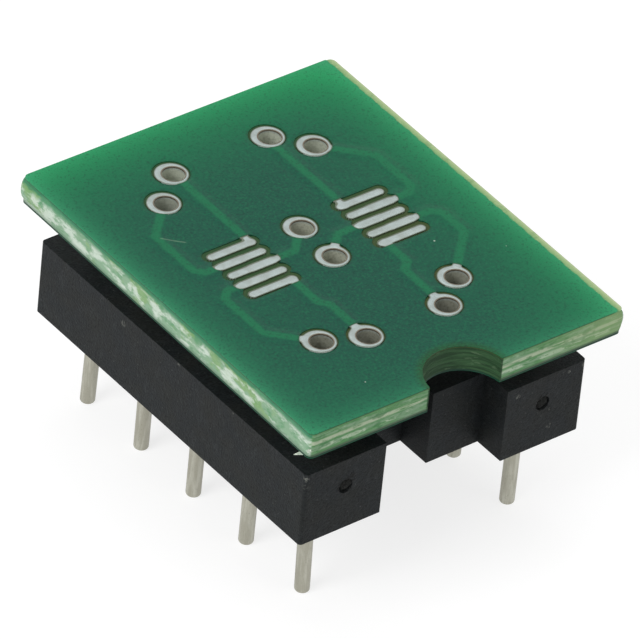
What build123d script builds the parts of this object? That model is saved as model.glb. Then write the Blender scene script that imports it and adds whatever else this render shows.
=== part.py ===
from build123d import *
from math import atan2, degrees, pi, tan
import os

os.makedirs("parts", exist_ok=True)

# A small circuit board with ten fine-pitch lands, held above a black moulded carrier by ten
# round pins. Sizes are millimetres. The pin tips stand on Z = 0 and the pin grid is centred
# on the origin. The notch end of the adapter is towards -Y.

# Pins, on the dual in-line grid
pins_per_row = 5
pin_pitch = 2.54
row_spacing = 7.62
pin_dia = 0.46
pin_reach = 3.05
body_width = 0.76
grip_sides = 12

# Moulded carrier
carrier_width = 10.16
carrier_length = 12.70
carrier_height = 2.54
bar_gap = 4.40
carrier_corner = 0.12
cross_bar_inset = 2.27
cross_bar_width = 1.25
step_inset = 1.06
step_edge_x = 0.31
dimple_dia = 0.50
dimple_depth = 0.12
dimple_height = 1.55
dimple_x = 3.58

# Board
standoff = 1.30
board_width = 11.22
board_length = 13.93
board_thickness = 0.79
board_corner = 0.18
notch_radius = 1.30
notch_x = -0.12
notch_drop = 0.10

# The board is soldered on a little askew: its middle from that of the pin grid, and its turn
# in degrees
board_shift = (0.085, -0.045)
board_turn = -0.5

# Copper and solder mask
copper_thickness = 0.045
track_width = 0.26
ring_dia = 1.02
drill_dia = 0.78
drill_sides = 10
plating = 0.04
drill_shift = (0.05, -0.035)
pad_width = 1.24
mask_film = 0.03
mask_over_track = 0.02
mask_ridge = 0.03
mask_shift = (0.03, 0.06)
ring_opening = 0.06
land_opening_x = 0.14
land_opening_y = 0.105
bare_margin = 0.23

# Chip footprint: two columns of lands
land_pitch = 0.50
land_width = 0.30
land_length = 1.70
land_spacing = 4.64
footprint_x = -0.17
footprint_y = 0.045

# Centres of the plated holes' rings, back to front: X from the middle of their column of lands,
# or of the whole footprint for the middle row, and Y from the pin of their net
rings = {
    "left": [(0.635, -0.27), (-0.39, 1.245), (0.01, 0.845), (-0.385, -1.14), (0.915, 0.905)],
    "right": [(-0.53, -0.28), (0.375, 1.24), (0.005, -0.71), (0.125, -0.76), (-0.905, 0.89)],
}

# Straight lanes that the top tracks follow: one beyond the lands' outer ends, and one over
# their inner ends
outer_lane_gap = {"left": 0.68, "right": 0.83}
inner_lane_inset = {"left": 0.17, "right": 0.255}
lane_corner = 0.26
jog_y = {"left": -2.22, "right": -2.00}

# Levels
carrier_bottom = pin_reach
carrier_top = carrier_bottom + carrier_height
board_bottom = carrier_top + standoff
board_top = board_bottom + board_thickness
pad_face = board_bottom - copper_thickness

sides = {"left": -1, "right": 1}
rows = range(pins_per_row)
middle_row = pins_per_row // 2
outer_rows = [1, pins_per_row - 2]
ring_radius = ring_dia / 2
bore_radius = drill_dia / 2 - plating
bar_width = (carrier_width - bar_gap) / 2
lands_span = (pins_per_row - 1) * land_pitch + land_width


def board_plane(level):
    """Plane of the board at a level, with the board's own X and Y."""
    return Plane(Location((board_shift[0], board_shift[1], level), (0, 0, board_turn)))


def pin_place(side, row):
    """Centre of a pin, counted from the back row, or of its pad in the board's plane."""
    middle = (pins_per_row - 1) / 2
    return (sides[side] * row_spacing / 2, (middle - row) * pin_pitch)


def land_place(side, row):
    """Centre of a land of the chip footprint."""
    middle = (pins_per_row - 1) / 2
    return (footprint_x + sides[side] * land_spacing / 2, footprint_y + (middle - row) * land_pitch)


def ring_place(side, row):
    """Centre of a plated hole's ring."""
    column_x = footprint_x if row == middle_row else land_place(side, row)[0]
    ring_x, ring_y = rings[side][row]
    return (column_x + ring_x, pin_place(side, row)[1] + ring_y)


def top_route(side, row):
    """Corners of the top track from a land to its ring."""
    land_x, land_y = land_place(side, row)
    ring_x, ring_y = ring_place(side, row)
    outwards = sides[side]
    away = 1 if ring_y > land_y else -1
    if row == middle_row:
        # Straight in from the land's inner end, then at 45 degrees to the ring
        turn_x = ring_x + outwards * abs(ring_y - land_y)
        return [(land_x, land_y), (turn_x, land_y), (ring_x, ring_y)]
    if row in outer_rows:
        # Out to the lane, along it, then at 45 degrees to the ring
        lane_x = land_x + outwards * (land_length / 2 + outer_lane_gap[side])
        diagonal = abs(lane_x - ring_x)
        return [
            (land_x, land_y),
            (lane_x - outwards * lane_corner, land_y),
            (lane_x, land_y + away * lane_corner),
            (lane_x, ring_y - away * diagonal),
            (ring_x, ring_y),
        ]
    # Straight up the board, with a short jog where the ring lies aside
    lane_x = land_x - outwards * (land_length / 2 - inner_lane_inset[side])
    if away > 0:
        return [(lane_x, land_y), (lane_x, ring_y)]
    return [
        (lane_x, land_y),
        (lane_x, jog_y[side]),
        (ring_x, jog_y[side] - abs(ring_x - lane_x)),
        (ring_x, ring_y),
    ]


def under_route(side, row):
    """Corners of the underside track: off the ring at 45 degrees, then straight to the pin."""
    pin_x, pin_y = pin_place(side, row)
    ring_x, ring_y = ring_place(side, row)
    fall = abs(ring_y - pin_y)
    reach = abs(ring_x - pin_x)
    if reach >= fall:
        return [(ring_x, ring_y), (ring_x + sides[side] * fall, pin_y), (pin_x, pin_y)]
    turn_y = ring_y + (reach if pin_y > ring_y else -reach)
    return [(ring_x, ring_y), (pin_x, turn_y), (pin_x, pin_y)]


def draw_track(points, width):
    """Adds a track of constant width, mitred where it bends by 45 degrees, to the sketch in hand."""
    mitre = width / 2 * tan(pi / 8)
    for start, end in zip(points, points[1:]):
        run = Vector(*end) - Vector(*start)
        if run.length > 0.01:
            with Locations((Vector(*start) + Vector(*end)) / 2):
                Rectangle(run.length + 2 * mitre, width, rotation=degrees(atan2(run.Y, run.X)))


def draw_land(side, row):
    """Adds one land with rounded ends to the sketch in hand."""
    land_x, land_y = land_place(side, row)
    straight = land_length - land_width
    with Locations((land_x, land_y)):
        Rectangle(straight, land_width)
    with Locations((land_x - straight / 2, land_y), (land_x + straight / 2, land_y)):
        RegularPolygon(land_width / 2, 12, major_radius=False)


def draw_board_outline(margin=0.0):
    """Adds the board's rounded rectangle with its half-round notch, less a strip along +X."""
    with Locations((-margin / 2, 0)):
        RectangleRounded(board_width - margin, board_length, board_corner)
    with Locations((notch_x, -board_length / 2 - notch_drop)):
        Circle(notch_radius, mode=Mode.SUBTRACT)


def drill_place(side, row):
    """Centre of a drilled hole, a little off its ring as on the real board."""
    ring_x, ring_y = ring_place(side, row)
    return (ring_x + drill_shift[0], ring_y + drill_shift[1])


all_pins = [(side, row) for side in sides for row in rows]

# Moulded carrier: two bars joined by two cross-bars, the front one stepped towards the notch
with BuildPart() as carrier:
    with BuildSketch(Plane.XY.offset(carrier_bottom)):
        for side in sides:
            with Locations((sides[side] * (bar_gap + bar_width) / 2, 0)):
                Rectangle(bar_width, carrier_length)
        for end in (-1, 1):
            with Locations((0, end * (carrier_length / 2 - cross_bar_inset - cross_bar_width / 2))):
                Rectangle(bar_gap, cross_bar_width)
        step_width = bar_gap / 2 - step_edge_x
        step_depth = cross_bar_inset + cross_bar_width - step_inset
        step_x = step_edge_x + step_width / 2
        with Locations((step_x, -carrier_length / 2 + step_inset + step_depth / 2)):
            Rectangle(step_width, step_depth)
    extrude(amount=carrier_height)
    upright = carrier.edges().filter_by(Axis.Z)
    outer = upright.filter_by(lambda edge: abs(edge.center().X) > carrier_width / 2 - carrier_corner)
    fillet(outer, radius=carrier_corner)
    with BuildSketch(Plane.XY.offset(carrier_bottom)):
        with Locations([pin_place(side, row) for side, row in all_pins]):
            RegularPolygon(body_width / 2, grip_sides, major_radius=False)
    extrude(amount=carrier_height, mode=Mode.SUBTRACT)
    with BuildSketch(Plane.XZ.offset(carrier_length / 2)):
        with Locations(*[(sides[side] * dimple_x, carrier_bottom + dimple_height) for side in sides]):
            RegularPolygon(dimple_dia / 2, 10)
    extrude(amount=-dimple_depth, mode=Mode.SUBTRACT)
carrier.part.label = "carrier"
export_step(carrier.part, "parts/carrier.step")

# Board laminate, with a drilled hole for each net and the notch in its front edge
with BuildPart() as board:
    with BuildSketch(board_plane(board_bottom)):
        draw_board_outline()
        with Locations([drill_place(side, row) for side, row in all_pins]):
            RegularPolygon(drill_dia / 2, drill_sides, major_radius=False, mode=Mode.SUBTRACT)
    extrude(amount=board_thickness)
board.part.label = "board"
export_step(board.part, "parts/board.step")

# Copper nets: land, top track, ring, plated hole, underside ring, underside track and pad
for side, row in all_pins:
    with BuildPart() as copper:
        with BuildSketch(board_plane(board_top)):
            with Locations(ring_place(side, row)):
                Circle(ring_radius)
            draw_track(top_route(side, row), track_width)
            draw_land(side, row)
            with Locations(drill_place(side, row)):
                Circle(bore_radius, mode=Mode.SUBTRACT)
        extrude(amount=copper_thickness)
        with BuildSketch(board_plane(pad_face)):
            with Locations(ring_place(side, row)):
                RegularPolygon(ring_radius, 8, major_radius=False)
            with Locations(pin_place(side, row)):
                RegularPolygon(pad_width / 2, 8, major_radius=False)
            draw_track(under_route(side, row), track_width)
            with Locations(drill_place(side, row)):
                Circle(bore_radius, mode=Mode.SUBTRACT)
        extrude(amount=copper_thickness)
        with BuildSketch(board_plane(pad_face)):
            with Locations(drill_place(side, row)):
                RegularPolygon(drill_dia / 2, drill_sides, major_radius=False)
                Circle(bore_radius, mode=Mode.SUBTRACT)
        extrude(amount=board_thickness + 2 * copper_thickness)
    copper.part.label = f"copper_{side}_{row + 1}"
    export_step(copper.part, f"parts/{copper.part.label}.step")

# Solder mask on the top: a film with a ridge over each track, open over rings and lands
with BuildPart() as mask_top:
    with BuildSketch(board_plane(board_top)):
        draw_board_outline(bare_margin)
    extrude(amount=mask_film)
    with BuildSketch(board_plane(board_top)):
        for side, row in all_pins:
            draw_track(top_route(side, row), track_width + 2 * mask_ridge)
    extrude(amount=copper_thickness + mask_over_track)
    with BuildSketch(board_plane(board_top)):
        for side, row in all_pins:
            draw_track(top_route(side, row), track_width)
            with Locations(ring_place(side, row)):
                Circle(ring_radius)
    extrude(amount=copper_thickness, mode=Mode.SUBTRACT)
    with BuildSketch(board_plane(board_top)):
        for side, row in all_pins:
            ring_x, ring_y = ring_place(side, row)
            with Locations((ring_x + mask_shift[0], ring_y + mask_shift[1])):
                RegularPolygon(ring_radius + ring_opening, 12, major_radius=False)
        for side in sides:
            land_x, land_y = land_place(side, middle_row)
            with Locations((land_x + mask_shift[0], land_y + mask_shift[1])):
                Rectangle(land_length + 2 * land_opening_x, lands_span + 2 * land_opening_y)
    extrude(amount=copper_thickness + mask_over_track, mode=Mode.SUBTRACT)
mask_top.part.label = "mask_top"
export_step(mask_top.part, "parts/mask_top.step")

# Solder mask on the underside: an even film that buries the tracks, open over rings and pads
with BuildPart() as mask_bottom:
    with BuildSketch(board_plane(board_bottom)):
        draw_board_outline()
        for side, row in all_pins:
            with Locations(ring_place(side, row)):
                RegularPolygon(ring_radius + ring_opening, 8, major_radius=False, mode=Mode.SUBTRACT)
            with Locations(pin_place(side, row)):
                RegularPolygon(pad_width / 2 + ring_opening, 8, major_radius=False, mode=Mode.SUBTRACT)
    extrude(amount=-copper_thickness - mask_over_track)
    with BuildSketch(board_plane(board_bottom)):
        for side, row in all_pins:
            draw_track(under_route(side, row), track_width)
    extrude(amount=-copper_thickness, mode=Mode.SUBTRACT)
mask_bottom.part.label = "mask_bottom"
export_step(mask_bottom.part, "parts/mask_bottom.step")

# Pins: a thin round leg below, and a thicker many-sided body that the carrier grips and that
# stands out above it to carry the board by its pad
for side, row in all_pins:
    with BuildPart() as pin:
        with BuildSketch(Plane.XY):
            with Locations(pin_place(side, row)):
                Circle(pin_dia / 2)
        extrude(amount=pin_reach)
        with BuildSketch(Plane.XY.offset(carrier_bottom)):
            with Locations(pin_place(side, row)):
                RegularPolygon(body_width / 2, grip_sides, major_radius=False)
        extrude(amount=pad_face - carrier_bottom)
    pin.part.label = f"pin_{side}_{row + 1}"
    export_step(pin.part, f"parts/{pin.part.label}.step")
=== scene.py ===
"""Looks of a small ten-pin adapter: a green circuit board on a black moulded pin carrier."""

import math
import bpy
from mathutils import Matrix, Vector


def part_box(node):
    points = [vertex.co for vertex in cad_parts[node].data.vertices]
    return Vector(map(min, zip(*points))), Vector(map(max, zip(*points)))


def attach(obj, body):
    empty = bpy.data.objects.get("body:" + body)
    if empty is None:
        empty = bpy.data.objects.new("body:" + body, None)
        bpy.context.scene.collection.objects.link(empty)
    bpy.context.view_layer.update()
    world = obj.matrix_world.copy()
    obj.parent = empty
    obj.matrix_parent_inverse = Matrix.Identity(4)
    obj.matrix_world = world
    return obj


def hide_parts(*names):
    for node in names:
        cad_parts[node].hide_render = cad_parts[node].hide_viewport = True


bl_info = {
    "name": "Pin Adapter",
    "version": (1, 0, 0),
    "blender": (4, 5, 0),
    "location": "View3D > Sidebar > Adapter",
    "description": "Dresses the packed model of a ten-pin chip adapter",
    "category": "Object",
}

import bmesh
import bpy
import numpy as np
from bpy.props import FloatProperty, FloatVectorProperty, PointerProperty
from mathutils import Matrix, Vector

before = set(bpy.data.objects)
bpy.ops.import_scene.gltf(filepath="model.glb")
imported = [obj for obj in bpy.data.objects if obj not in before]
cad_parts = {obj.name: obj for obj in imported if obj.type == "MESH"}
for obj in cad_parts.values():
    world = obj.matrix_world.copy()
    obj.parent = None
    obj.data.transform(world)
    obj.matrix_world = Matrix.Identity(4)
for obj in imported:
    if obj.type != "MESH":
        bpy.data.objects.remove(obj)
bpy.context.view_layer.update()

# Lengths below are millimetres unless they say otherwise; meshes are scaled to metres once
MM = 0.001

# Levels and edges, from the frame
board_low, board_high = (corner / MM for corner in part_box("board"))
mask_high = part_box("mask_top")[1] / MM
carrier_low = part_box("carrier")[0] / MM
under_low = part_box("mask_bottom")[0] / MM
copper_thickness = 0.045
pad_face = board_low.z - copper_thickness

# The board's own outline, and its seat: a little off the pins' grid and a little askew
board_width = 11.22
board_length = 13.93
board_corner = 0.18
board_shift = (0.085, -0.045)
board_turn = math.radians(-0.5)
notch_radius = 1.30
notch_centre = (-0.12, -board_length / 2 - 0.10)

# Pins: a thin leg with a rounded tip, and a wider body; two of them lean at their tips
pins_per_row = 5
pin_pitch = 2.54
row_spacing = 7.62
leg_radius = 0.23
body_radius = 0.38
body_inset = 0.002
turned_sides = 28
tip_steps = 6
pin_leans = {(-1, 0): (-0.05, 0.03, 0), (-1, 4): (0.06, -0.05, 0)}

# Solder under the pads, and what is left of the carrier's moulding gates
solder_radius = 0.56
solder_steps = 7
solder_curve = 2.2
stub_sizes = {"Depth": 0.13, "Height": 0.125, "Radius": 0.26, "Tear": 0.11}
stub_steps = 5
stub_sides = 14

# Copper
track_width = 0.26
ring_radius = 0.51
bore_radius = 0.35
drill_shift = (0.05, -0.035)

# The mask: its openings, its film with a low ridge over each track, and its wavy bare border,
# whose waves are a height, a rate and a start each
mask_cell = 0.06
mask_shift = (0.03, 0.06)
ring_opening = 0.06
land_opening = (0.14, 0.105)
film_top = board_high.z + 0.034
track_top = board_high.z + copper_thickness + 0.009
ridge_fade = (-0.02, 0.24)
rim_drop = 0.012
rim_width = 0.12
rim_off_track = 0.14
bare_margin = 0.23
border_waves = [(0.012, 7.1, 0.0), (0.009, 17.3, 1.0), (0.006, 41.0, 0.0)]

# Glow painted into the mask's colour for the light that comes up through the cut edges: its fade,
# and its share at the right, left, back and front
wide_glow = (1.2, (0.80, 0.14, 0.93, 0.12))
rim_glow = (0.35, (1.0, 0.5, 0.4, 0.32))

# The tin: how it laps over the copper, rounds its corners and slopes up from its rim, how far
# round a centre it is looked for, and the spread of the painted shade at its rim along the back of
# a land
tin_cell = 0.035
tin_wrap = 0.004
tin_fillet = 0.10
tin_round = 0.03
tin_slope = 0.11
tin_top = mask_high.z - 0.004
ring_reach = 0.90
land_reach = 0.42
shade_back_reach = 0.1
shade_back_share = 0.3

# Chip footprint
land_pitch = 0.50
land_width = 0.30
land_length = 1.70
land_spacing = 4.64
footprint = (-0.17, 0.045)

# Centres of the plated holes' rings: X from their column of lands, Y from their pin
rings = {
    -1: [(0.635, -0.27), (-0.39, 1.245), (0.01, 0.845), (-0.385, -1.14), (0.915, 0.905)],
    1: [(-0.53, -0.28), (0.375, 1.24), (0.005, -0.71), (0.125, -0.76), (-0.905, 0.89)],
}
outer_lane_gap = {-1: 0.68, 1: 0.83}
inner_lane_inset = {-1: 0.17, 1: 0.255}
lane_corner = 0.26
jog_y = {-1: -2.22, 1: -2.00}

middle_row = pins_per_row // 2
outer_rows = (1, pins_per_row - 2)
places = [(side, row) for side in (-1, 1) for row in range(pins_per_row)]
side_names = ("left", "right")


def seated(x, y):
    """Takes places from the board's own X and Y to those of the whole adapter."""
    turned_x = x * math.cos(board_turn) - y * math.sin(board_turn)
    turned_y = x * math.sin(board_turn) + y * math.cos(board_turn)
    return turned_x + board_shift[0], turned_y + board_shift[1]


def pin_place(side, row):
    """Centre of a pin; side is -1 for the left row and 1 for the right."""
    return (side * row_spacing / 2, (middle_row - row) * pin_pitch)


def land_place(side, row):
    """Centre of a land of the chip footprint."""
    return (footprint[0] + side * land_spacing / 2, footprint[1] + (middle_row - row) * land_pitch)


def ring_place(side, row):
    """Centre of a plated hole's ring."""
    column_x = footprint[0] if row == middle_row else land_place(side, row)[0]
    ring_x, ring_y = rings[side][row]
    return (column_x + ring_x, pin_place(side, row)[1] + ring_y)


def top_route(side, row):
    """Corners of the top track from a land to its ring."""
    land_x, land_y = land_place(side, row)
    ring_x, ring_y = ring_place(side, row)
    away = 1 if ring_y > land_y else -1
    if row == middle_row:
        return [(land_x, land_y), (ring_x + side * abs(ring_y - land_y), land_y), (ring_x, ring_y)]
    if row in outer_rows:
        lane_x = land_x + side * (land_length / 2 + outer_lane_gap[side])
        return [
            (land_x, land_y),
            (lane_x - side * lane_corner, land_y),
            (lane_x, land_y + away * lane_corner),
            (lane_x, ring_y - away * abs(lane_x - ring_x)),
            (ring_x, ring_y),
        ]
    lane_x = land_x - side * (land_length / 2 - inner_lane_inset[side])
    if away > 0:
        return [(lane_x, land_y), (lane_x, ring_y)]
    jog = jog_y[side]
    return [(lane_x, land_y), (lane_x, jog), (ring_x, jog - abs(ring_x - lane_x)), (ring_x, ring_y)]


# Marks of use, each a centre and a radius; specks and scratch are in the board's own X and Y
mask_specks = [
    ((2.82, -1.64), 0.05), ((-2.85, -5.82), 0.045), ((4.47, -2.90), 0.04), ((4.30, -3.10), 0.035)
]
scratch_ends = ((-3.981, 2.539), (-3.373, 1.958))
carrier_scuffs = [
    (-5.08, 2.30, 5.26, 0.13), (-5.08, -0.31, 5.52, 0.07), (-5.08, -2.9, 5.50, 0.05),
    (2.60, -6.35, 5.25, 0.12), (3.87, -6.35, 4.28, 0.07), (3.92, -6.35, 3.63, 0.12),
    (4.47, -6.35, 5.40, 0.08), (-5.08, -6.34, 5.44, 0.16), (-5.08, -6.34, 5.15, 0.14),
    (5.04, -6.33, 5.45, 0.14), (0.17, -5.29, 4.19, 0.10),
]

# Moulding gates in the carrier's front: X and Z, and the torn patches round them with their radii
gate_marks = [(-3.55, 4.68), (3.57, 4.66)]
torn_marks = [(-3.44, 4.84, 0.30), (-3.70, 4.62, 0.26), (3.57, 4.66, 0.34), (3.62, 4.92, 0.18)]

# The loose sliver at the board's corner: X, Y, Z and half its thickness along its length
burr_path = [
    (-5.574, -6.94, 7.16, 0.050), (-5.576, -6.80, 7.02, 0.085), (-5.577, -6.64, 6.87, 0.085),
    (-5.578, -6.46, 6.71, 0.050), (-5.580, -6.28, 6.55, 0.014),
]

# The rough web at two corners, -1 at the back left and 1 at the front right: how far it runs,
# where it is rooted, how much of the room past the edge it fills, and how its end is rounded
web_run = 2.6
web_steps = 40
web_arc = 11
web_root = 0.13
web_inset = (0.012, 0.015)
web_room = 0.055
web_fill = 0.84
web_start = 0.4
web_ends = {-1: 0.05, 1: 0.13}

# Node trees


def by_math(operation, swapped=False):
    """A Python operator that adds a Math node."""

    def apply(self, other):
        return self.math(operation, other, self) if swapped else self.math(operation, self, other)

    return apply


class Signal:
    """An output socket that adds Math nodes when it is used in an expression."""

    __add__, __radd__ = by_math("ADD"), by_math("ADD", True)
    __sub__, __rsub__ = by_math("SUBTRACT"), by_math("SUBTRACT", True)
    __mul__, __rmul__ = by_math("MULTIPLY"), by_math("MULTIPLY", True)
    __truediv__, __rtruediv__ = by_math("DIVIDE"), by_math("DIVIDE", True)
    __pow__, __rpow__ = by_math("POWER"), by_math("POWER", True)
    __lt__, __gt__ = by_math("LESS_THAN"), by_math("GREATER_THAN")
    least, most = by_math("MINIMUM"), by_math("MAXIMUM")

    def __init__(self, tree, socket):
        self.tree = tree
        self.socket = socket

    def math(self, operation, *values):
        return self.tree.node("ShaderNodeMath", {"operation": operation}, dict(enumerate(values)))

    def size(self):
        return self.math("ABSOLUTE", self)

    def step(self, low, high):
        """Rises smoothly from 0 at low to 1 at high, or falls where high is below low."""
        settings = {"interpolation_type": "SMOOTHSTEP"}
        if low < high:
            ends = {1: low, 2: high, 3: 0.0, 4: 1.0}
        else:
            ends = {1: high, 2: low, 3: 1.0, 4: 0.0}
        return self.tree.node("ShaderNodeMapRange", settings, {0: self, **ends})

    def band(self, start, full, still_full, end):
        """1 between two inner values, falling smoothly to 0 at the outer ones."""
        return self.step(start, full) * self.step(end, still_full)


class Tree:
    """A node tree, with one method that adds any node."""

    def __init__(self, tree):
        self.tree = tree

    def node(self, kind, settings=None, inputs=None, output=0):
        """Adds a node: its settings come first, then the values or links of its sockets."""
        made = self.tree.nodes.new(kind)
        for key, value in (settings or {}).items():
            setattr(made, key, value)
        for key, value in (inputs or {}).items():
            if isinstance(value, Signal):
                self.tree.links.new(value.socket, made.inputs[key])
            else:
                made.inputs[key].default_value = value
        return Signal(self, made.outputs[output]) if made.outputs else None

    def vector(self, operation, inputs, output=0):
        """Adds a Vector Math node."""
        return self.node("ShaderNodeVectorMath", {"operation": operation}, inputs, output)


class Finish(Tree):
    """One procedural material on Object coordinates, which it hands out in millimetres."""

    def __init__(self, name):
        self.material = bpy.data.materials.new(name)
        self.material.use_nodes = True
        super().__init__(self.material.node_tree)
        self.tree.nodes.clear()
        place = self.node("ShaderNodeTexCoord", output="Object")
        self.place = self.scaled(place, (1 / MM,) * 3)
        self.x, self.y, self.z = self.parts(self.place)

    def scaled(self, vector, factors):
        return self.vector("MULTIPLY", {0: vector, 1: factors})

    def parts(self, vector):
        first = self.node("ShaderNodeSeparateXYZ", None, {0: vector})
        return [Signal(self, socket) for socket in first.socket.node.outputs]

    def on_board(self):
        """X and Y along the board's own edges."""
        away_x, away_y = self.x - board_shift[0], self.y - board_shift[1]
        cosine, sine = math.cos(board_turn), math.sin(board_turn)
        return away_x * cosine + away_y * sine, away_y * cosine - away_x * sine

    def spots(self, places, softness=0.35):
        """1 inside small round marks, each given as its centre and radius in millimetres."""
        total = 0.0
        for *centre, radius in places:
            away = self.vector("DISTANCE", {0: self.place, 1: centre}, output=1)
            total = away.step(radius, radius * (1 - softness)) + total
        return total.least(1.0)

    def stroke(self, place, start, end, width=0.04, fade=0.1):
        """1 along a short straight scratch on the board."""
        run_x, run_y = end[0] - start[0], end[1] - start[1]
        length = math.hypot(run_x, run_y)
        away_x, away_y = place[0] - start[0], place[1] - start[1]
        along = (away_x * run_x + away_y * run_y) / length
        across = (away_y * run_x - away_x * run_y) / length
        return along.band(0.0, fade, length - fade, length) * across.size().step(width, width * 0.3)

    def noise(self, scale, detail=3.0, roughness=0.5, stretch=(1, 1, 1), shift=0.0):
        """Noise from 0 to 1 about 0.5, with scale in cells for each millimetre."""
        place = self.scaled(self.place, stretch)
        if shift:
            place = self.vector("ADD", {0: place, 1: (shift,) * 3})
        values = {"Vector": place, "Scale": scale, "Detail": detail, "Roughness": roughness}
        return self.node("ShaderNodeTexNoise", None, values)

    def mix(self, factor, first, second):
        """Mixes two colours."""
        settings = {"data_type": "RGBA", "clamp_factor": True}
        return self.node("ShaderNodeMix", settings, {0: factor, 6: first, 7: second}, output=2)

    def coats(self, body, *coats):
        """Lays colours over a first one in turn, each as far as its factor says."""
        for factor, colour in coats:
            body = self.mix(factor, body, colour)
        return body

    def attribute(self, name):
        return self.node("ShaderNodeAttribute", {"attribute_name": name}, output="Fac")

    def bump(self, height, distance, strength=1.0):
        """A normal from a height from 0 to 1, with distance in millimetres."""
        values = {"Height": height, "Distance": distance * MM, "Strength": strength}
        return self.node("ShaderNodeBump", None, values)

    def surface(self, **values):
        """Ends the material in one shader; socket names are written with underscores."""
        inputs = {key.replace("_", " "): value for key, value in values.items()}
        return self.finished_by(self.node("ShaderNodeBsdfPrincipled", None, inputs))

    def finished_by(self, shader):
        self.node("ShaderNodeOutputMaterial", None, {"Surface": shader})
        return self.material


def tint(red, green, blue, alpha=1.0):
    """A colour written as 0 to 255 screen values, in the linear values that shaders take."""
    linear = []
    for value in (red, green, blue):
        part = value / 255
        linear.append(part / 12.92 if part <= 0.04045 else ((part + 0.055) / 1.055) ** 2.4)
    return (*linear, alpha)


# Meshes: how close to a cell's corner a contour may cross its side, how near points are merged,
# and the turn from which an edge is rounded
least_share = 0.04
merge_reach = 0.0005
edge_turn = math.radians(50)


def placed(name, data):
    """A new object in the scene."""
    made = bpy.data.objects.new(name, data)
    bpy.context.scene.collection.objects.link(made)
    return made


def object_from(name, vertices, faces, material, sharp=math.radians(35)):
    """A closed mesh from millimetre vertices, smooth up to the sharp angle."""
    mesh = bpy.data.meshes.new(name)
    mesh.from_pydata([tuple(v * MM for v in vertex) for vertex in vertices], [], faces)
    mesh.materials.append(material)
    smooth(mesh, sharp)
    return placed(name, mesh)


def store(mesh, name, values, kind="FLOAT", key="value"):
    """Gives each point of a mesh a value, as an attribute."""
    layer = mesh.attributes.new(name, kind, "POINT")
    layer.data.foreach_set(key, np.array(values, dtype=np.float32).ravel())


def smooth(mesh, sharp):
    """Shades a mesh smooth, but for edges that turn by more than the sharp angle."""
    mesh.polygons.foreach_set("use_smooth", [True] * len(mesh.polygons))
    solid = bmesh.new()
    solid.from_mesh(mesh)
    for edge in solid.edges:
        edge.smooth = len(edge.link_faces) == 2 and edge.calc_face_angle(0.0) < sharp
    solid.to_mesh(mesh)
    solid.free()


def apply_modifiers(made):
    """Turns an object's modifiers into its plain mesh."""
    bpy.context.view_layer.update()
    graph = bpy.context.evaluated_depsgraph_get()
    mesh = bpy.data.meshes.new_from_object(made.evaluated_get(graph))
    old = made.data
    made.modifiers.clear()
    made.data = mesh
    bpy.data.meshes.remove(old)
    mesh.name = made.name


def softened_copy(node, name, material, width, segments, sharp):
    """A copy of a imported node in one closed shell, with rounded edges between flat faces."""
    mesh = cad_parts[node].data.copy()
    mesh.name = name
    solid = bmesh.new()
    solid.from_mesh(mesh)
    bmesh.ops.remove_doubles(solid, verts=solid.verts, dist=merge_reach * MM)
    solid.to_mesh(mesh)
    solid.free()
    mesh.materials.clear()
    mesh.materials.append(material)
    made = placed(name, mesh)
    bevel = made.modifiers.new("edges", "BEVEL")
    bevel.width = width * MM
    bevel.segments = segments
    bevel.limit_method = "ANGLE"
    bevel.angle_limit = edge_turn
    apply_modifiers(made)
    smooth(made.data, sharp)
    weighted = made.modifiers.new("flat", "WEIGHTED_NORMAL")
    weighted.keep_sharp = True
    apply_modifiers(made)
    return made


def segment_distance(x, y, start, end):
    """Distance of each point from a straight run between two corners."""
    run_x, run_y = end[0] - start[0], end[1] - start[1]
    along = (x - start[0]) * run_x + (y - start[1]) * run_y
    share = np.clip(along / max(run_x**2 + run_y**2, 1e-9), 0, 1)
    return np.hypot(x - start[0] - share * run_x, y - start[1] - share * run_y)


def track_distance(x, y):
    """Signed distance from the edge of the nearest top track, below zero on the track."""
    nearest = np.minimum.reduce([route_distance(x, y, side, row) for side, row in places])
    return nearest - track_width / 2


def route_distance(x, y, side, row):
    """Distance from the middle line of one top track."""
    points = top_route(side, row)
    runs = zip(points, points[1:])
    return np.minimum.reduce([segment_distance(x, y, start, end) for start, end in runs])


def land_distance(x, y, side, row, grow_x=0.0, grow_y=0.0, shift=(0.0, 0.0)):
    """Signed distance from the round-ended outline of a land, or of its opening."""
    land_x, land_y = land_place(side, row)
    centre_x, centre_y = land_x + shift[0], land_y + shift[1]
    half_width = land_width / 2 + grow_y
    half_run = land_length / 2 + grow_x - half_width
    ends = ((centre_x - half_run, centre_y), (centre_x + half_run, centre_y))
    return segment_distance(x, y, *ends) - half_width


def blend(first, second, reach):
    """The lesser of two distances, with the corner between them filled smoothly."""
    share = np.clip(0.5 + 0.5 * (second - first) / reach, 0, 1)
    return first * share + second * (1 - share) - reach * share * (1 - share)


def opening_distance(x, y):
    """Signed distance from the nearest opening in the mask, below zero inside it."""
    openings = []
    for side, row in places:
        ring_x, ring_y = ring_place(side, row)
        away = np.hypot(x - ring_x - mask_shift[0], y - ring_y - mask_shift[1])
        openings.append(away - ring_radius - ring_opening)
        openings.append(land_distance(x, y, side, row, *land_opening, mask_shift))
    return np.minimum.reduce(openings)


def notch_distance(x, y):
    return np.hypot(x - notch_centre[0], y - notch_centre[1]) - notch_radius


def outline_distance(x, y):
    """Signed distance inside the mask's outer border, which leaves a bare strip along +X."""
    ragged = sum(height * np.sin(y * rate + start) for height, rate, start in border_waves)
    right = board_width / 2 - bare_margin + ragged - x
    left = x + board_width / 2
    end = board_length / 2 - np.abs(y)
    corner = np.hypot(np.minimum(left - board_corner, 0), np.minimum(end - board_corner, 0))
    rounded = np.where((left < board_corner) & (end < board_corner), board_corner - corner, 9.0)
    return np.minimum.reduce([left, right, end, rounded])


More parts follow.
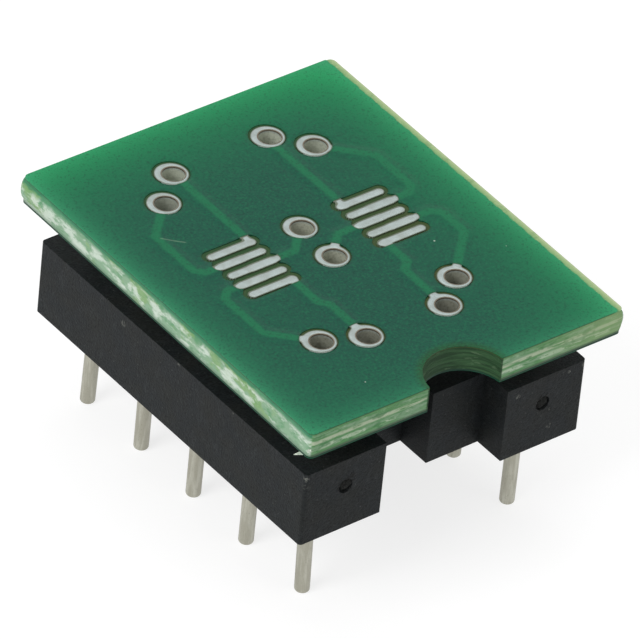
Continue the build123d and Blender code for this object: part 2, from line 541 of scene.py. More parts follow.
def rise(value, low, high):
    """Smooth step of an array from 0 at low to 1 at high."""
    share = np.clip((value - low) / (high - low), 0, 1)
    return share * share * (3 - 2 * share)


def painted_edge_glow(x, y, fade, shares):
    """Glow painted for the light that the laminate passes up near its edges: shares are right,
    left, back and front.
    """
    edges = (board_width / 2 - x, x + board_width / 2, board_length / 2 - y, y + board_length / 2)
    return sum(share * np.exp(-away / fade) for share, away in zip(shares, edges))


def contour(low, high, cell, field):
    """The part of a rectangle where a field is above zero, as points and the cells they bound."""
    counts = [round((high[k] - low[k]) / cell) for k in (0, 1)]
    lines = [np.linspace(low[k], high[k], counts[k] + 1) for k in (0, 1)]
    x, y = np.meshgrid(*lines, indexing="ij")
    inside = field(x, y)
    inside[np.abs(inside) < 1e-5] = 1e-5
    points, index, faces = [], {}, []

    def corner(place):
        if place not in index:
            index[place] = len(points)
            points.append((x[place], y[place]))
        return index[place]

    def crossing(*ends):
        first, second = sorted(ends)
        if (first, second) not in index:
            share = inside[first] / (inside[first] - inside[second])
            share = min(max(share, least_share), 1 - least_share)
            index[first, second] = len(points)
            points.append(
                tuple(grid[first] + share * (grid[second] - grid[first]) for grid in (x, y))
            )
        return index[first, second]

    for i in range(counts[0]):
        for j in range(counts[1]):
            cell_corners = [(i, j), (i + 1, j), (i + 1, j + 1), (i, j + 1)]
            signs = [inside[place] > 0 for place in cell_corners]
            if not any(signs):
                continue
            outline = []
            for k in range(4):
                here, after = cell_corners[k], cell_corners[(k + 1) % 4]
                if signs[k]:
                    outline.append(corner(here))
                if signs[k] != signs[(k + 1) % 4]:
                    outline.append(crossing(here, after))
            faces.append(outline)
    return np.array(points), faces


def shell(name, pieces, material):
    """Closed shells over contours of the board; each piece gives its top and bottom levels too."""
    vertices, shell_faces = [], []
    for (flat, faces), top, bottom in pieces:
        base, count = len(vertices), len(flat)
        x, y = seated(flat[:, 0], flat[:, 1])
        vertices += list(zip(x, y, top)) + list(zip(x, y, [bottom] * count))
        shell_faces += [[base + v for v in face] for face in faces]
        shell_faces += [[base + count + v for v in reversed(face)] for face in faces]
        edges = {(a, b) for face in faces for a, b in zip(face, face[1:] + face[:1])}
        border = sorted(edge for edge in edges if (edge[1], edge[0]) not in edges)
        shell_faces += [[base + v for v in (b, a, count + a, count + b)] for a, b in border]
    return object_from(name, vertices, shell_faces, material, math.radians(60))


def mask_field(x, y):
    return np.minimum.reduce([opening_distance(x, y), notch_distance(x, y), outline_distance(x, y)])


def mask_level(x, y):
    """Level of the mask's top: the film, its soft ridges over the tracks and its thin rims."""
    track = track_distance(x, y)
    rim = np.minimum(opening_distance(x, y), notch_distance(x, y))
    top = film_top + (track_top - film_top) * (1 - rise(track, *ridge_fade))
    return top - rim_drop * (1 - rise(rim, 0.0, rim_width)) * rise(track, 0.0, rim_off_track)


def build_mask(material):
    """The top mask, with the distances and the painted glow from the edges that its finish reads.
    """
    reach = (board_width / 2 + mask_cell / 2, board_length / 2 + mask_cell / 2)
    flat, faces = contour((-reach[0], -reach[1]), reach, mask_cell, mask_field)
    x, y = flat[:, 0], flat[:, 1]
    made = shell("top_mask", [((flat, faces), mask_level(x, y), board_high.z)], material)
    values = {
        "track": track_distance(x, y),
        "opening": opening_distance(x, y),
        "notch": notch_distance(x, y),
        "wide_glow": painted_edge_glow(x, y, *wide_glow),
        "rim_glow": painted_edge_glow(x, y, *rim_glow),
    }
    for name, value in values.items():
        store(made.data, name, [value, value])
    return made


def build_tin(material, rise_height):
    """The tin on the rings, the lands and the bare starts of their tracks."""
    pieces, rim_shades, holes = [], [], []
    for side, row in places:
        ring_x, ring_y = ring_place(side, row)
        land_x, land_y = land_place(side, row)
        hole_x, hole_y = ring_x + drill_shift[0], ring_y + drill_shift[1]

        def ring_field(x, y):
            ring = np.hypot(x - ring_x, y - ring_y) - ring_radius
            copper = blend(ring, route_distance(x, y, side, row) - track_width / 2, tin_fillet)
            hole = np.hypot(x - hole_x, y - hole_y) - (bore_radius - tin_wrap)
            return np.minimum(blend(tin_wrap - copper, -opening_distance(x, y), tin_round), hole)

        def land_field(x, y):
            land = land_distance(x, y, side, row)
            copper = blend(land, route_distance(x, y, side, row) - track_width / 2, tin_fillet)
            return blend(tin_wrap - copper, -opening_distance(x, y), tin_round)

        land_room = (land_length / 2 + land_reach, land_width / 2 + land_reach)
        plans = (
            ((ring_x, ring_y), (ring_reach, ring_reach), ring_field),
            ((land_x, land_y), land_room, land_field),
        )
        for (centre_x, centre_y), (reach_x, reach_y), field in plans:
            low = (centre_x - reach_x, centre_y - reach_y)
            high = (centre_x + reach_x, centre_y + reach_y)
            flat, faces = contour(low, high, tin_cell, field)
            x, y = flat[:, 0], flat[:, 1]
            depth = field(x, y)
            top = tin_top - rise_height * (1 - rise(depth, 0.0, tin_slope))
            pieces.append(((flat, faces), top, board_high.z))
            # the painted shade at a land's rim spreads further along its back
            back = np.clip(y - land_y, 0, shade_back_reach) if field is land_field else 0.0
            rim_shades += [depth - shade_back_share * back] * 2
            holes += [np.hypot(x - hole_x, y - hole_y) - bore_radius] * 2
    made = shell("tin_coat", pieces, material)
    # distances that the painted shade at the tin's rim and round its holes reads
    store(made.data, "rim", np.concatenate(rim_shades))
    store(made.data, "hole", np.concatenate(holes))
    return made


def tube(rings):
    """Vertices and faces of a closed tube through rings that have as many points each."""
    count = len(rings[0])
    vertices = [point for ring in rings for point in ring]
    end = len(vertices) - count
    faces = []
    for base in range(0, end, count):
        for j in range(count):
            after = (j + 1) % count
            faces.append([base + j, base + after, base + count + after, base + count + j])
    faces += [list(range(count))[::-1], list(range(end, end + count))]
    return vertices, faces


def build_burr(material):
    """A loose sliver of glass fibre that hangs from the board's corner."""
    rings = [
        [(x, y - size, z), (x, y, z - size), (x, y + size, z), (x + size, y, z)]
        for x, y, z, size in burr_path
    ]
    return object_from("corner_burr", *tube(rings), material)


def web_ring(side, share):
    """Outline of the web across the board's edge; share is 1 at the corner."""
    end = board_length / 2 - web_inset[0]
    middle = (board_low.z + board_high.z) / 2
    half = (board_high.z - board_low.z) / 2 - web_inset[1]
    y = end - web_run * (1 - share)
    ragged = 1 + 0.10 * math.sin(31 * share + side) + 0.07 * math.sin(83 * share)
    room = web_room - math.sin(board_turn) * y
    out = room * web_fill * min(share / web_start, 1.0) * ragged
    past = min((end - y) / web_ends[side] - 1, 0)
    out -= web_ends[side] * (1 - math.sqrt(1 - past**2))
    ring = []
    for j in range(web_arc):
        turn = math.pi * (j / (web_arc - 1) - 0.5)
        x = board_width / 2 - web_root + (web_root + out) * math.cos(turn)
        ring.append((*seated(side * x, -side * y), middle + half * math.sin(turn)))
    return ring


def build_web(material):
    """The rough web left at mid thickness where the board was snapped off, at two corners."""
    vertices, faces = [], []
    for side in (-1, 1):
        more, outlines = tube([web_ring(side, k / web_steps) for k in range(web_steps + 1)])
        faces += [[len(vertices) + v for v in outline] for outline in outlines]
        vertices += more
    return object_from("edge_web", vertices, faces, material)


# Geometry Nodes


class Builder(Tree):
    """A Geometry Nodes tree with named inputs, which ends in plain meshes with one material."""

    def __init__(self, name, sizes, material):
        group = bpy.data.node_groups.new(name, "GeometryNodeTree")
        super().__init__(group)
        group.interface.new_socket("Points", in_out="INPUT", socket_type="NodeSocketGeometry")
        for label in sizes:
            group.interface.new_socket(label, in_out="INPUT", socket_type="NodeSocketFloat")
        group.interface.new_socket("Mesh", in_out="OUTPUT", socket_type="NodeSocketGeometry")
        self.sizes = sizes
        self.material = material
        self.points = self.node("NodeGroupInput", output="Points")
        entry = self.points.socket.node.outputs
        self.value = {label: Signal(self, entry[label]) for label in sizes}

    def close(self, geometry):
        """Ends the tree in Realize Instances and Set Material."""
        real = self.node("GeometryNodeRealizeInstances", None, {0: geometry})
        values = {"Geometry": real, "Material": self.material}
        painted = self.node("GeometryNodeSetMaterial", None, values)
        self.node("NodeGroupOutput", None, {"Mesh": painted})

    def lathe(self, count, height, radius, sides):
        """A turned solid: height and radius are expressions of the index along its axis."""
        line = self.node("GeometryNodeMeshLine", None, {"Count": count})
        level = self.node("ShaderNodeCombineXYZ", None, {2: height})
        line = self.node("GeometryNodeSetPosition", None, {"Geometry": line, "Position": level})
        curve = self.node("GeometryNodeMeshToCurve", None, {0: line})
        values = {"Resolution": sides, "Radius": 1.0}
        circle = self.node("GeometryNodeCurvePrimitiveCircle", None, values)
        values = {"Curve": curve, "Profile Curve": circle, "Scale": radius, "Fill Caps": True}
        return self.node("GeometryNodeCurveToMesh", None, values)

    def repeat(self, shape, **values):
        """Places the shape at each point."""
        inputs = {"Points": self.points, "Instance": shape, **values}
        return self.node("GeometryNodeInstanceOnPoints", None, inputs)

    def run(self, name, points, sharp=math.radians(35), vectors=None):
        """Runs the tree on a mesh of points and returns the result as a plain mesh object."""
        cloud = bpy.data.meshes.new(name)
        cloud.from_pydata([tuple(v * MM for v in point) for point in points], [], [])
        for label, rows in (vectors or {}).items():
            scaled = [[v * MM for v in row] for row in rows]
            store(cloud, label, scaled, "FLOAT_VECTOR", "vector")
        made = placed(name, cloud)
        modifier = made.modifiers.new("build", "NODES")
        modifier.node_group = self.tree
        for item in self.tree.interface.items_tree:
            if item.in_out == "INPUT" and item.name in self.sizes:
                modifier[item.identifier] = self.sizes[item.name] * MM
        apply_modifiers(made)
        smooth(made.data, sharp)
        return made


def pin_builder(sizes, material):
    """A turned pin: rounded tip, thin leg, wider body. Each leg may lean at its tip."""
    tree = Builder("pin", sizes, material)
    value = tree.value
    index = tree.node("GeometryNodeInputIndex")
    turn = (index / tip_steps).least(1.0) * (math.pi / 2)
    in_tip, in_leg, in_step = (index < tip_steps + ring + 0.5 for ring in range(3))
    tip_level = value["Tip Rounding"] * (1 - turn.math("COSINE", turn))
    level = in_tip * tip_level + (1 - in_tip) * in_step * value["Leg Length"]
    level = level + (1 - in_step) * value["Pin Height"]
    leg = value["Leg Radius"] - value["Tip Rounding"] * (1 - turn.math("SINE", turn))
    radius = in_leg * leg + (1 - in_leg) * value["Body Radius"]
    pins = tree.repeat(tree.lathe(tip_steps + 4, level, radius, turned_sides))
    real = tree.node("GeometryNodeRealizeInstances", None, {0: pins})
    settings = {"data_type": "FLOAT_VECTOR"}
    lean = tree.node("GeometryNodeInputNamedAttribute", settings, {"Name": "lean"})
    place = tree.node("GeometryNodeInputPosition")
    height = tree.node("ShaderNodeSeparateXYZ", None, {0: place}, output=2)
    share = (1 - height / value["Leg Length"]).most(0.0)
    offset = tree.vector("SCALE", {0: lean, "Scale": share})
    tree.close(tree.node("GeometryNodeSetPosition", None, {"Geometry": real, "Offset": offset}))
    return tree


def fillet_builder(sizes, material):
    """A solder fillet: a small bell that hangs from a pad round its pin."""
    tree = Builder("fillet", sizes, material)
    value = tree.value
    share = tree.node("GeometryNodeInputIndex") / solder_steps
    level = value["Height"] * -1.0 * share
    flare = (value["Pad Radius"] - value["Pin Radius"]) * (1 - share) ** solder_curve
    radius = value["Pin Radius"] + flare
    tree.close(tree.repeat(tree.lathe(solder_steps + 1, level, radius, turned_sides)))
    return tree


def stub_builder(sizes, material):
    """What is left of a moulding gate: a low torn button at the bottom of its dimple."""
    tree = Builder("stub", sizes, material)
    value = tree.value
    share = tree.node("GeometryNodeInputIndex") / stub_steps
    level = value["Depth"] * -1.0 + value["Height"] * share
    radius = value["Radius"] * (1 - share**3 * 0.8)
    button = tree.lathe(stub_steps + 1, level, radius, stub_sides)
    values = {"Geometry": button, "Rotation": (math.pi / 2, 0, 0)}
    turned = tree.node("GeometryNodeTransform", None, values)
    real = tree.node("GeometryNodeRealizeInstances", None, {0: tree.repeat(turned)})
    values = {"Scale": 7.0 / MM, "Detail": 1.0}
    noise = tree.node("ShaderNodeTexNoise", {"noise_dimensions": "3D"}, values, 1)
    middle = tree.vector("SUBTRACT", {0: noise, 1: (0.5, 0.7, 0.5)})
    offset = tree.vector("SCALE", {0: middle, "Scale": value["Tear"]})
    tree.close(tree.node("GeometryNodeSetPosition", None, {"Geometry": real, "Offset": offset}))
    return tree


# Finishes


def mask_finish(colours):
    """Green solder mask: lighter over the tracks, painted lighter where light comes up through the
    edges, and painted darker round the notch.
    """
    mask = Finish("green_mask")
    cloud = mask.noise(0.35, 2.0) - 0.5
    grain = mask.noise(9.0, 3.0) - 0.5
    mottle = mask.noise(13.0, 3.0, 0.6, shift=7.0) - 0.5
    # painted shade: a dark band round the notch, where the notch's wall lies in shadow and no light
    # comes up through the laminate
    notch = mask.attribute("notch") + cloud * 0.2
    specks = mask.spots([(*seated(*place), mask_high.z, size) for place, size in mask_specks])
    body = mask.coats(
        (*colours.mask_dark, 1),
        # painted glow: the mask lighter near the board's edges, where light comes up through the
        # laminate
        (mask.attribute("wide_glow") + cloud * 0.10, (*colours.mask_light, 1)),
        (mask.attribute("rim_glow") * 0.8, tint(66, 168, 118)),
        (mask.attribute("track").step(0.06, -0.06) * 0.72, (*colours.mask_track, 1)),
        (mask.attribute("opening").step(0.09, 0.0) * 0.3, tint(22, 58, 30)),
        # painted shade round the notch
        (notch.step(0.30, 0.0) * 0.75, tint(28, 76, 36)),
        (mottle.step(0.0, 0.22) * 0.45, (*colours.mask_track, 1)),
        (mottle.step(0.0, -0.22) * 0.45, tint(3, 40, 36)),
        (mask.stroke(mask.on_board(), *scratch_ends) * 0.24, tint(150, 180, 150)),
        (specks * 0.6, tint(214, 226, 212)),
    )
    normal = mask.bump(mask.noise(2.2, 4.0) + grain * 0.3, 0.010)
    return mask.surface(
        Base_Color=body, Roughness=0.32 + grain * 0.15, Normal=normal, Specular_IOR_Level=0.16
    )


class Laminate(Finish):
    """Glass and resin laminate: olive under the openings, and pale and streaked where it is cut."""

    def __init__(self):
        super().__init__("laminate")
        self.board_x, self.board_y = self.on_board()
        self.depth = board_high.z - self.z
        self.layer = self.noise(5.5, 3.0, 0.6, stretch=(0.15, 0.15, 1.6))
        self.fibre = self.noise(9.0, 4.0, 0.65, stretch=(0.35, 0.35, 1.8), shift=3.0)
        self.chips = self.noise(3.0, 4.0, 0.65, stretch=(0.6, 0.6, 2.2), shift=8.0)
        self.blots = self.noise(2.4, 5.0, 0.6, stretch=(0.8, 0.8, 1.4), shift=31.0)
        self.speckle = self.noise(11.0, 3.0, 0.6, shift=21.0)

    def side(self):
        """The cut faces at the left, right and back: pale, with white flakes and green patches."""
        flakes = self.noise(1.7, 4.0, 0.62, stretch=(0.8, 0.8, 1.7), shift=44.0)
        patches = self.noise(1.0, 4.0, 0.55, stretch=(1, 1, 1.3), shift=63.0)
        blots, depth = self.blots, self.depth
        white = (flakes * 0.75 + self.chips * 0.25).step(0.47, 0.57)
        white = white * (depth - (flakes - 0.5) * 0.4).step(0.08, 0.28)
        border = depth - (patches - 0.5) * 0.4 - (self.fibre - 0.5) * 0.15
        return self.coats(
            tint(84, 142, 106),
            ((depth - (blots - 0.5) * 0.3).step(0.10, 0.32), tint(140, 174, 144)),
            (blots.step(0.52, 0.68) * 0.75, tint(92, 150, 106)),
            (patches.step(0.50, 0.60) * 0.6, tint(134, 170, 104)),
            (white * 0.9, tint(206, 220, 206)),
            (self.fibre.step(0.56, 0.70) * 0.6, tint(86, 140, 96)),
            (depth.step(0.64, 0.78) * 0.7, tint(104, 132, 110)),
            (border.step(0.15, 0.05) * 0.85, tint(50, 124, 92)),
        )

    def front(self):
        """The front face: long pale streaks at three heights, with green patches between them."""
        layer, fibre, chips = self.layer, self.fibre, self.chips
        blots, depth = self.blots, self.depth
        high = depth.band(0.02, 0.08, 0.18, 0.22)
        middle = depth.band(0.23, 0.30, 0.37, 0.42)
        lower = depth.band(0.44, 0.52, 0.60, 0.66)
        return self.coats(
            tint(94, 146, 94),
            (layer.step(0.38, 0.62), tint(132, 164, 132)),
            (fibre.step(0.50, 0.68) * 0.8, tint(70, 130, 70)),
            (middle * (chips * 0.6 + layer * 0.6).step(0.46, 0.62) * 0.8, tint(188, 200, 172)),
            (lower * chips.step(0.50, 0.58) * 0.8, tint(184, 204, 176)),
            (high * blots.step(0.52, 0.62) * 0.6, tint(160, 190, 156)),
            (blots.step(0.48, 0.34) * 0.7, tint(66, 122, 74)),
            ((depth - (fibre - 0.5) * 0.16).step(0.12, 0.02) * 0.8, tint(84, 138, 84)),
            (self.board_x.step(2.0, 5.6) * 0.5, tint(158, 182, 128)),
            (depth.step(0.69, 0.76), tint(80, 104, 80)),
        )

    def shaded_notch_wall(self):
        """The notch's wall, painted darker as shade, since little light reaches it."""
        return self.coats(
            tint(28, 58, 32),
            (self.layer.step(0.40, 0.64), tint(50, 84, 52)),
            (self.chips.step(0.58, 0.68) * 0.5, tint(88, 116, 84)),
        )

    def top(self):
        """The top face, in the mask's openings and along its bare strip at the right edge."""
        from_edge = board_width / 2 - self.board_x
        across = self.board_y - self.board_x * 0.5
        strip = self.coats(
            tint(98, 156, 106),
            (from_edge.step(0.25, 0.11), tint(144, 174, 120)),
            (from_edge.step(0.13, 0.01), tint(172, 188, 144)),
            (self.speckle.step(0.50, 0.72) * 0.45, tint(178, 190, 146)),
            (self.blots.step(0.46, 0.34) * 0.4, tint(96, 140, 88)),
        )
        return self.coats(
            tint(40, 72, 40),
            (across.step(3.0, -5.0), tint(62, 72, 36)),
            (self.speckle.step(0.5, 0.75) * 0.3, tint(82, 96, 62)),
            (from_edge.step(0.41, 0.31), strip),
        )

    def finished(self):
        away_x, away_y = self.board_x - notch_centre[0], self.board_y - notch_centre[1]
        from_notch = (away_x * away_x + away_y * away_y) ** 0.5 - notch_radius
        from_front = self.board_y + board_length / 2
        body = self.coats(
            self.side(),
            (from_front.step(0.06, 0.02), self.front()),
            # painted shade: the notch's wall darker than the other cut faces
            (from_notch.step(0.07, 0.03), self.shaded_notch_wall()),
            (self.depth.step(0.025, 0.008), self.top()),
        )
        normal = self.bump(self.fibre + self.chips, 0.02)
        return self.surface(Base_Color=body, Roughness=0.62, Normal=normal, Specular_IOR_Level=0.2)


def burr_finish():
    """White broken glass fibre."""
    fibre = Finish("glass_fibre")
    strand = fibre.noise(16.0, 3.0, 0.6, stretch=(1, 0.4, 0.4))
    body = fibre.mix(strand.step(0.4, 0.65), tint(170, 184, 166), tint(214, 222, 208))
    return fibre.surface(Base_Color=body, Roughness=0.6, Normal=fibre.bump(strand, 0.01))


def tin_finish(colours):
    """Grey-white tin on the lands and rings, slightly uneven, with painted shade at its rims and
    round its holes.
    """
    tin = Finish("tin_coat")
    patch = tin.noise(3.0, 3.0)
    fine = tin.noise(20.0, 2.0)
    body = tin.coats(
        (*colours.tin, 1),
        (patch.step(0.35, 0.7), tint(154, 164, 160)),
        (fine.step(0.55, 0.8) * 0.35, tint(134, 136, 126)),
        # painted shade: darker olive at the tin's rim, where its sloping sides fall into shade
        (tin.attribute("rim").step(0.045, 0.005) * 0.85, tint(84, 92, 68)),
        # painted shade: brown-grey round the hole's edge, where the plating falls into the bore
        (tin.attribute("hole").step(0.045, 0.02), tint(112, 104, 90)),
    )
    normal = tin.bump(patch + fine * 0.4, 0.006)
    return tin.surface(Base_Color=body, Metallic=0.6, Roughness=0.42 + fine * 0.12, Normal=normal)


def bore_finish(colours):
    """Plated copper: pale at the faces, painted grey as shade down the holes and darker down the
    front ones, and painted lighter down the back ones.
    """
    plate = Finish("plated_bore")
    below = board_high.z - plate.z
    deep = below.step(-0.03, 0.10)
    fine = plate.noise(14.0, 3.0)
    shaded_hole = plate.spots([(*seated(*ring_place(-1, 1)), board_low.z, 1.1)])
    shade = plate.y.step(-1.5, -4.6).most(shaded_hole * 0.8)
    body = plate.coats(
        (*colours.tin, 1),
        (deep, tint(190, 193, 176)),
        # painted shade: greyer deeper down the holes
        (below.step(0.18, 0.78) * 0.5, tint(134, 138, 122)),
        (fine.step(0.45, 0.75) * 0.5, tint(114, 117, 99)),
        # painted shade: darker in the front holes and in the shaded one
        (deep * shade * 0.52, tint(62, 58, 48)),
        # painted light: lighter in the back holes
        (deep * plate.y.step(0.5, 4.5) * 0.3, tint(214, 224, 210)),
    )
    normal = plate.bump(fine, 0.012)
    return plate.surface(Base_Color=body, Metallic=0.35, Roughness=0.55, Normal=normal)


def moulding_finish(colours):
    """Black moulded plastic with a fine satin grain, pale scuffs and torn gates."""
    plastic = Finish("black_moulding")
    grain = plastic.noise(16.0, 3.0, 0.6)
    patch = plastic.noise(1.1, 3.0, 0.5, shift=5.0)
    tall = plastic.noise(6.0, 3.0, 0.6, stretch=(1, 1, 0.5), shift=15.0)
    dust = plastic.noise(11.0, 2.0, 0.5, shift=11.0)
    ragged = plastic.noise(12.0, 3.0, 0.7, shift=41.0)
    scuffs = plastic.spots(carrier_scuffs, 0.7) * ragged.step(0.44, 0.62)
    torn = plastic.spots([(x, carrier_low.y, z, size) for x, z, size in torn_marks], 0.6)
    torn = torn * plastic.noise(7.0, 3.0, 0.7, shift=51.0).step(0.42, 0.56)
    body = plastic.coats(
        (*colours.moulding, 1),
        (patch.step(0.35, 0.7), tint(35, 37, 36)),
        (tall.step(0.50, 0.72) * 0.6, tint(46, 49, 50)),
        (grain.step(0.50, 0.34) * 0.8, tint(14, 16, 16)),
        (dust.step(0.69, 0.75) * 0.30, tint(110, 112, 110)),
        (scuffs * 0.8, tint(122, 124, 118)),
        (torn * 0.75, tint(12, 12, 10)),
    )
    normal = plastic.bump(grain + torn * 1.2, 0.024)
    return plastic.surface(
        Base_Color=body, Roughness=0.52 + patch * 0.12, Normal=normal, Specular_IOR_Level=0.14
    )


def stub_finish():
    """Torn plastic of the gates: a dull grey break."""
    torn = Finish("torn_moulding")
    grain = torn.noise(14.0, 4.0, 0.65)
    body = torn.mix(grain.step(0.42, 0.62), tint(14, 14, 13), tint(42, 44, 42))
    return torn.surface(
        Base_Color=body, Roughness=0.75, Normal=torn.bump(grain, 0.05), Specular_IOR_Level=0.1
    )


def pin_finish(colours):
    """Matt tin-lead plate on the turned pins."""
    plate = Finish("pin_plate")
    streak = plate.noise(7.0, 3.0, 0.6, stretch=(1, 1, 0.12))
    fine = plate.noise(26.0, 2.0)
    body = plate.coats(
        (*colours.pin, 1),
        (streak.step(0.4, 0.66), tint(188, 187, 174)),
        (fine.step(0.58, 0.8) * 0.5, tint(120, 118, 104)),
    )
    normal = plate.bump(streak + fine * 0.5, 0.006)
    return plate.surface(Base_Color=body, Metallic=0.85, Roughness=0.34 + fine * 0.2, Normal=normal)


def under_mask_finish(colours):
    """The underside's mask, dark at its cut rim, and painted lighter towards the board's edges as a
    glow of light through the laminate.
    """
    mask = Finish("under_mask")
    board_x, board_y = mask.on_board()
    from_side = (board_width / 2 - board_x.size()).step(0.0, 1.4)
    from_end = (board_length / 2 - board_y.size()).step(0.0, 1.4)
    above = mask.z - under_low.z
    grain = mask.noise(9.0, 3.0)
    # painted glow: lighter green near the board's edges, fading to the darker mask in the middle
    body = mask.coats(
        tint(5, 112, 76),
        (from_side * from_end, (*colours.mask_dark, 1)),
        (grain.step(0.5, 0.8) * 0.3, (*colours.mask_track, 1)),
        (above.step(0.003, 0.012) * 0.9, tint(24, 50, 36)),
    )
    normal = mask.bump(mask.noise(2.2, 4.0), 0.010)
    return mask.surface(
        Base_Color=body, Roughness=0.32 + grain * 0.1, Normal=normal, Specular_IOR_Level=0.16
    )


# Settings that a user would change


def colour_setting(name, description, *screen):
    """A colour setting whose default is written as 0 to 255 screen values."""
    return FloatVectorProperty(
        name=name, description=description, subtype="COLOR", size=3, min=0, max=1,
        default=tint(*screen)[:3],
    )


def length_setting(name, description, default):
    """A length setting in millimetres."""
    return FloatProperty(name=name, description=description, default=default, min=0.0)


class AdapterColours(bpy.types.PropertyGroup):
    """Colours of the adapter's finishes, as linear red, green and blue."""

    mask_dark: colour_setting("Mask", "Mask over the middle of the board", 3, 75, 58)
    # Colour of the painted glow, where light comes up through the laminate near the board's edges
    mask_light: colour_setting(
        "Mask at the edges", "Mask where light comes up through the laminate", 4, 140, 80
    )
    mask_track: colour_setting("Mask over tracks", "Mask over the copper tracks", 16, 112, 72)
    tin: colour_setting("Tin", "Tin on the lands and rings", 166, 178, 176)
    moulding: colour_setting("Moulding", "Plastic of the carrier", 29, 33, 35)
    pin: colour_setting("Pins", "Plate on the pins", 168, 166, 152)


class AdapterSizes(bpy.types.PropertyGroup):
    """Small sizes of the adapter's finish, in millimetres."""

    carrier_edge: length_setting("Carrier edge", "Rounding of the moulded carrier's edges", 0.045)
    board_edge: length_setting("Board edge", "Rounding of the board's cut edges", 0.02)
    tip_rounding: length_setting("Tip rounding", "Rounding of the pins' tips", 0.09)
    tin_rise: length_setting("Tin rise", "Height of the tin's middle over its rim", 0.014)
    fillet_height: length_setting("Solder height", "Height of the solder under each pad", 0.42)


# One operator for each piece


class AdapterMask(bpy.types.Operator):
    """Builds the top mask with its ridges over the tracks"""

    bl_idname = "adapter.mask"
    bl_label = "Top mask"

    def execute(self, context):
        mask = build_mask(mask_finish(context.scene.adapter_colours))
        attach(mask, "root")
        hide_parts("mask_top")
        return {"FINISHED"}


class AdapterBoard(bpy.types.Operator):
    """Builds the board's laminate with softened cut edges, its loose sliver and its web"""

    bl_idname = "adapter.board"
    bl_label = "Board"

    def execute(self, context):
        edge = context.scene.adapter_sizes.board_edge
        finish = Laminate().finished()
        laminate = softened_copy("board", "board_laminate", finish, edge, 1, math.radians(30))
        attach(laminate, "root")
        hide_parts("board")
        for rough in (build_burr(burr_finish()), build_web(finish)):
            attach(rough, "root")
        return {"FINISHED"}


class AdapterTin(bpy.types.Operator):
    """Coats the lands, the rings and the bare starts of the tracks with tin"""

    bl_idname = "adapter.tin"
    bl_label = "Tin"

    def execute(self, context):
        scene = context.scene
        tin = build_tin(tin_finish(scene.adapter_colours), scene.adapter_sizes.tin_rise)
        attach(tin, "root")
        return {"FINISHED"}


class AdapterCopper(bpy.types.Operator):
    """Gives the copper nets and the underside's mask their finishes"""

    bl_idname = "adapter.copper"
    bl_label = "Copper and underside"

    def execute(self, context):
        colours = context.scene.adapter_colours
        bore = bore_finish(colours)
        for side in side_names:
            for row in range(pins_per_row):
                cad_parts[f"copper_{side}_{row + 1}"].material_slots[0].material = bore
        under = under_mask_finish(colours)
        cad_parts["mask_bottom"].material_slots[0].material = under
        return {"FINISHED"}


class AdapterCarrier(bpy.types.Operator):
    """Builds the moulded carrier with softened edges, and what is left of its gates"""

    bl_idname = "adapter.carrier"
    bl_label = "Carrier"

    def execute(self, context):
        edge = context.scene.adapter_sizes.carrier_edge
        finish = moulding_finish(context.scene.adapter_colours)
        carrier = softened_copy("carrier", "pin_carrier", finish, edge, 3, math.radians(50))
        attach(carrier, "root")
        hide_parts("carrier")
        stubs = stub_builder(stub_sizes, stub_finish()).run(
            "gate_stubs", [(x, carrier_low.y, z) for x, z in gate_marks], math.radians(40)
        )
        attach(stubs, "root")
        return {"FINISHED"}


class AdapterPins(bpy.types.Operator):
    """Builds the ten turned pins and the solder round their heads"""

    bl_idname = "adapter.pins"
    bl_label = "Pins"

    def execute(self, context):
        sizes = context.scene.adapter_sizes
        plate = pin_finish(context.scene.adapter_colours)
        pin_sizes = {
            "Tip Rounding": sizes.tip_rounding, "Leg Radius": leg_radius,
            "Leg Length": carrier_low.z, "Body Radius": body_radius - body_inset,
            "Pin Height": pad_face,
        }
        fillet_sizes = {
            "Height": sizes.fillet_height, "Pad Radius": solder_radius, "Pin Radius": body_radius
        }
        tips = [(*pin_place(*place), 0.0) for place in places]
        pads = [(*pin_place(*place), pad_face) for place in places]
        leans = {"lean": [pin_leans.get(place, (0, 0, 0)) for place in places]}
        pins = pin_builder(pin_sizes, plate).run("pins", tips, math.radians(50), leans)
        fillets = fillet_builder(fillet_sizes, plate).run("pad_solder", pads, math.radians(50))
        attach(pins, "root")
        names = [f"pin_{side}_{row + 1}" for side in side_names for row in range(pins_per_row)]
        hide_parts(*names)
        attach(fillets, "root")
        return {"FINISHED"}


# Camera, measured for the viewing angle, in metres and with a lens in millimetres
camera_place = (-0.15141, -0.17382, 0.18408)
camera_right = (0.7912, -0.606, 0.0821)
camera_forward = (0.5193, 0.5947, -0.6137)
camera_lens = 568.4

# Lamps: name, place and size in metres, and power in watts
lamps = [
    ("key", (-0.32, -0.02, 0.28), 0.22, 0.9),
    ("fill", (0.16, -0.34, 0.30), 0.25, 0.15),
    ("top", (0.05, 0.10, 0.42), 0.30, 0.45),
]
lamp_target = (0, 0, 0.005)

# The floor's half width in metres, its grey for light and for the eye, and the light that it
# and the world give off
floor_reach = 3.0
floor_grey = 0.80
floor_seen_grey = 0.30
floor_lift = 0.77
world_light = 0.5


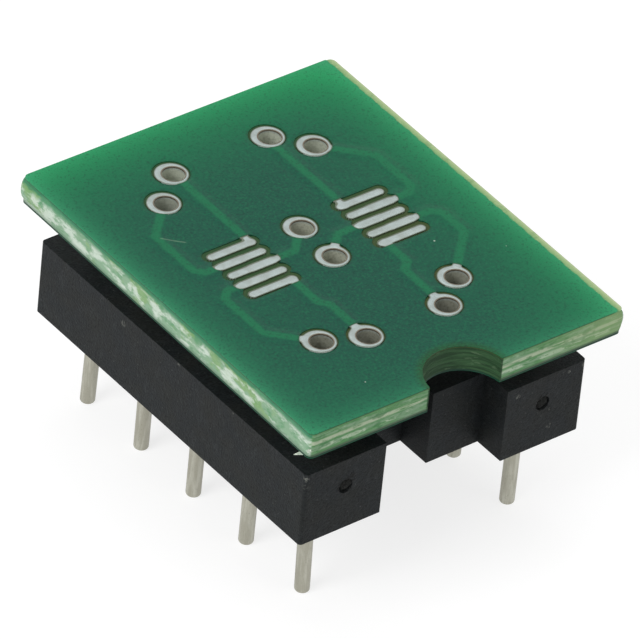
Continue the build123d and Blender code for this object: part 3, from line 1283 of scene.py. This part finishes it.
class AdapterStage(bpy.types.Operator):
    """Sets the floor, the lights, the world and the camera"""

    bl_idname = "adapter.stage"
    bl_label = "Stage"

    def execute(self, context):
        scene = context.scene
        mesh = bpy.data.meshes.new("floor")
        signs = ((-1, -1), (1, -1), (1, 1), (-1, 1))
        corners = [(x * floor_reach, y * floor_reach, 0) for x, y in signs]
        mesh.from_pydata(corners, [], [(0, 1, 2, 3)])
        mesh.materials.append(floor_finish())
        floor = placed("floor", mesh)
        self.world(scene)
        for name, place, size, power in lamps:
            self.lamp(name, place, size, power)
        right, forward = Vector(camera_right).normalized(), Vector(camera_forward).normalized()
        turn = Matrix((right, right.cross(forward), -forward)).transposed().to_4x4()
        camera = placed("camera", bpy.data.cameras.new("camera"))
        camera.matrix_world = Matrix.Translation(camera_place) @ turn
        camera.data.lens = camera_lens
        camera.data.sensor_width = 36.0
        camera.data.clip_start = 0.01
        camera.data.clip_end = 20.0
        scene.camera = camera
        scene.view_settings.view_transform = "Standard"
        return {"FINISHED"}

    def lamp(self, name, place, size, power):
        """A soft square lamp that points at the board."""
        light = bpy.data.lights.new(name, "AREA")
        light.size = size
        light.energy = power
        aim = (Vector(lamp_target) - Vector(place)).to_track_quat("-Z", "Y")
        placed(name, light).matrix_world = Matrix.Translation(place) @ aim.to_matrix().to_4x4()

    def world(self, scene):
        """An even pale world that the camera and reflections see as white."""
        world = bpy.data.worlds.new("studio")
        scene.world = world
        world.use_nodes = True
        world.node_tree.nodes.clear()
        tree = Tree(world.node_tree)
        strength = world_light + seen_directly(tree) * (1 - world_light)
        values = {"Color": (1.0, 1.0, 1.0, 1.0), "Strength": strength}
        background = tree.node("ShaderNodeBackground", None, values)
        tree.node("ShaderNodeOutputWorld", None, {"Surface": background})


def seen_directly(tree):
    """1 for rays from the camera, a reflection or a transmission, and 0 for the rest."""
    camera = tree.node("ShaderNodeLightPath", output="Is Camera Ray")
    outputs = camera.socket.node.outputs
    glossy = Signal(tree, outputs["Is Glossy Ray"])
    through = Signal(tree, outputs["Is Transmission Ray"])
    return (camera + glossy + through).least(1.0)


def floor_finish():
    """Pale floor that keeps the object's shadow and is white where it is lit."""
    floor = Finish("pale_floor")
    seen = seen_directly(floor)
    body = floor.mix(seen, (*[floor_grey] * 3, 1), (*[floor_seen_grey] * 3, 1))
    diffuse = floor.node("ShaderNodeBsdfDiffuse", None, {"Color": body})
    values = {"Color": (1, 1, 1, 1), "Strength": seen * floor_lift}
    lift = floor.node("ShaderNodeEmission", None, values)
    return floor.finished_by(floor.node("ShaderNodeAddShader", None, {0: diffuse, 1: lift}))


operators = (
    AdapterMask, AdapterBoard, AdapterTin, AdapterCopper, AdapterCarrier, AdapterPins, AdapterStage
)


class AdapterPanel(bpy.types.Panel):
    """Lists the adapter's pieces and settings"""

    bl_idname = "VIEW3D_PT_adapter"
    bl_label = "Pin adapter"
    bl_space_type = "VIEW_3D"
    bl_region_type = "UI"
    bl_category = "Adapter"

    def draw(self, context):
        for group in (context.scene.adapter_sizes, context.scene.adapter_colours):
            for name in group.__annotations__:
                self.layout.prop(group, name)
        for operator in operators:
            self.layout.operator(operator.bl_idname)


classes = (AdapterColours, AdapterSizes, *operators, AdapterPanel)


def register():
    for item in classes:
        bpy.utils.register_class(item)
    bpy.types.Scene.adapter_sizes = PointerProperty(type=AdapterSizes)
    bpy.types.Scene.adapter_colours = PointerProperty(type=AdapterColours)


def unregister():
    del bpy.types.Scene.adapter_sizes
    del bpy.types.Scene.adapter_colours
    for item in reversed(classes):
        bpy.utils.unregister_class(item)


def main():
    register()
    for operator in operators:
        group, name = operator.bl_idname.split(".")
        result = getattr(getattr(bpy.ops, group), name)()
        if result != {"FINISHED"}:
            raise RuntimeError(f"{operator.bl_label} did not finish")


if __name__ == "__main__":
    main()
